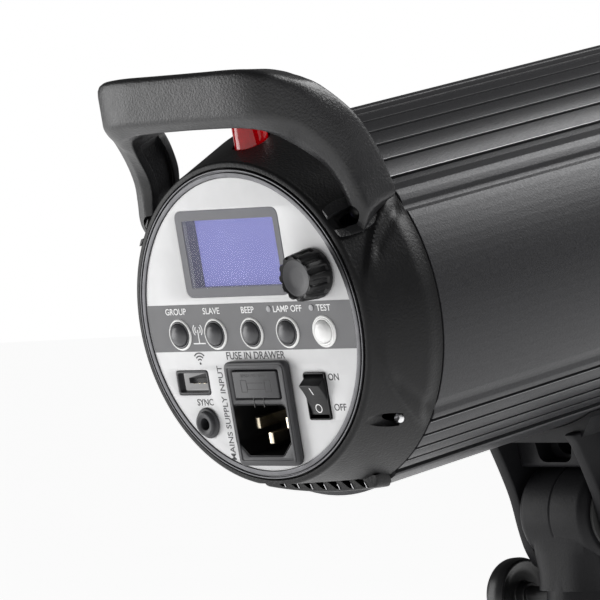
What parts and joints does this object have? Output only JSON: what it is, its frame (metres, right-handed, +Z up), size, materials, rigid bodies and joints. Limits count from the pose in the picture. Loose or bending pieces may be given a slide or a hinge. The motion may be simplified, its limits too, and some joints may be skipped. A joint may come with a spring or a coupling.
{
  "type": "monolight strobe",
  "caption": "Studio flash head with a round rear control panel, carry handle, ribbed barrel, front bayonet mount and a tilting stand bracket.",
  "frame": {"origin": "centre of the stand socket mouth, on the stand axis", "axes": "+Z up the stand, +Y towards the front of the light, +X to the right of a person behind it; the head leans 10 degrees back at rest"},
  "size_m": [0.127, 0.3527, 0.2309],
  "materials": {
    "shell": "fine spark texture",
    "barrel": "satin paint",
    "dark_plastic": "satin",
    "panel": "satin film",
    "button": "satin",
    "button_white": "satin",
    "window": "clear",
    "screen": "lit display",
    "trim": "polished edge",
    "dial": "satin",
    "steel": "plated",
    "bracket": "textured paint",
    "sensor": "translucent red",
    "lamp_glass": "clear",
    "ceramic": "matte",
    "reflector": "white paint",
    "board": "solder mask",
    "capacitor": "sleeve",
    "winding": "enamelled wire"
  },
  "bodies": {
    "stand": {"stand_adapter": "bracket"},
    "head": {"rear_shell": "shell", "main_housing": "barrel", "front_shell": "shell", "bayonet_ring": "steel", "reflector_plate": "reflector", "flash_tube": "lamp_glass", "modelling_lamp": "lamp_glass", "lamp_holder": "ceramic", "carry_handle": "shell", "panel_ring": "trim", "control_panel": "panel", "display_window": "window", "display_module": "screen", "display_board": "board", "dial_encoder": "steel", "usb_shell": "steel", "usb_tongue": "panel", "sync_jack": "dark_plastic", "inlet_housing": "dark_plastic", "inlet_pin_live": "steel", "inlet_pin_neutral": "steel", "inlet_pin_earth": "steel", "switch_frame": "dark_plastic", "vent_foot": "dark_plastic", "sensor_bezel": "dark_plastic", "sensor_cap": "sensor", "handle_screw_left": "steel", "handle_screw_right": "steel", "shell_screw_left": "steel", "shell_screw_right": "steel", "chassis_plate": "steel", "main_board": "board", "trigger_transformer": "winding", "capacitor_1": "capacitor", "capacitor_2": "capacitor", "capacitor_3": "capacitor", "capacitor_4": "capacitor", "fan_frame": "dark_plastic", "bracket_yoke": "bracket", "bracket_bolt_left": "steel", "bracket_bolt_right": "steel", "tilt_bolt": "steel", "friction_washer_left": "dark_plastic", "friction_washer_right": "dark_plastic"},
    "stand_clamp": {"clamp_knob": "dark_plastic"},
    "tilt_lock": {"tilt_lever": "dark_plastic"},
    "umbrella_clamp": {"umbrella_screw": "dark_plastic"},
    "dial_stem": {"dial_shaft": "steel"},
    "dial": {"dial_knob": "dial"},
    "key_1": {"button_1": "button"},
    "key_2": {"button_2": "button"},
    "key_3": {"button_3": "button"},
    "key_4": {"button_4": "button"},
    "key_5": {"button_5": "button_white"},
    "rocker": {"switch_rocker": "dark_plastic"},
    "fuse_tray": {"fuse_drawer": "dark_plastic", "fuse": "lamp_glass"},
    "bayonet_release": {"bayonet_lock": "dark_plastic"},
    "fan": {"fan_rotor": "dark_plastic"}
  },
  "joints": [
    {"name": "head_tilt", "type": "hinge", "parent": "stand", "child": "head", "pos_m": [0, 0, 0.05], "axis": [1, 0, 0], "range_deg": [-100, 80]},
    {"name": "stand_clamp_turn", "type": "hinge", "parent": "stand", "child": "stand_clamp", "pos_m": [0, 0, 0.0215], "axis": [1, 0, 0], "range_deg": [0, 540]},
    {"name": "tilt_lock_turn", "type": "hinge", "parent": "head", "child": "tilt_lock", "pos_m": [0, 0, 0.05], "axis": [1, 0, 0], "range_deg": [-50, 45]},
    {"name": "umbrella_clamp_turn", "type": "hinge", "parent": "head", "child": "umbrella_clamp", "pos_m": [0, 0.00264, 0.07534], "axis": [1, 0, 0], "range_deg": [0, 540]},
    {"name": "dial_press", "type": "slide", "parent": "head", "child": "dial_stem", "axis": [0, 0.9848, 0.1736], "range_m": [0, 0.0005], "stiffness_N_per_m": 450, "springref_m": -0.0008},
    {"name": "dial_turn", "type": "hinge", "parent": "dial_stem", "child": "dial", "pos_m": [0.0337, -0.15283, 0.13353], "axis": [0, 0.9848, 0.1736], "continuous": true},
    {"name": "key_1_press", "type": "slide", "parent": "head", "child": "key_1", "axis": [0, 0.9848, 0.1736], "range_m": [0, 0.0008], "stiffness_N_per_m": 600, "springref_m": -0.0008},
    {"name": "key_2_press", "type": "slide", "parent": "head", "child": "key_2", "axis": [0, 0.9848, 0.1736], "range_m": [0, 0.0008], "stiffness_N_per_m": 600, "springref_m": -0.0008},
    {"name": "key_3_press", "type": "slide", "parent": "head", "child": "key_3", "axis": [0, 0.9848, 0.1736], "range_m": [0, 0.0008], "stiffness_N_per_m": 600, "springref_m": -0.0008},
    {"name": "key_4_press", "type": "slide", "parent": "head", "child": "key_4", "axis": [0, 0.9848, 0.1736], "range_m": [0, 0.0008], "stiffness_N_per_m": 600, "springref_m": -0.0008},
    {"name": "key_5_press", "type": "slide", "parent": "head", "child": "key_5", "axis": [0, 0.9848, 0.1736], "range_m": [0, 0.0008], "stiffness_N_per_m": 600, "springref_m": -0.0008},
    {"name": "rocker_turn", "type": "hinge", "parent": "head", "child": "rocker", "pos_m": [0.0257, -0.1451, 0.09549], "axis": [1, 0, 0], "range_deg": [-40, 0]},
    {"name": "fuse_tray_slide", "type": "slide", "parent": "head", "child": "fuse_tray", "axis": [0, -0.9848, -0.1736], "range_m": [0, 0.014]},
    {"name": "bayonet_release_slide", "type": "slide", "parent": "head", "child": "bayonet_release", "axis": [0, -0.9848, -0.1736], "range_m": [0, 0.006], "stiffness_N_per_m": 250, "springref_m": -0.004},
    {"name": "fan_spin", "type": "hinge", "parent": "head", "child": "fan", "pos_m": [0, 0.06165, 0.15531], "axis": [0, 0.9848, 0.1736], "continuous": true}
  ]
}
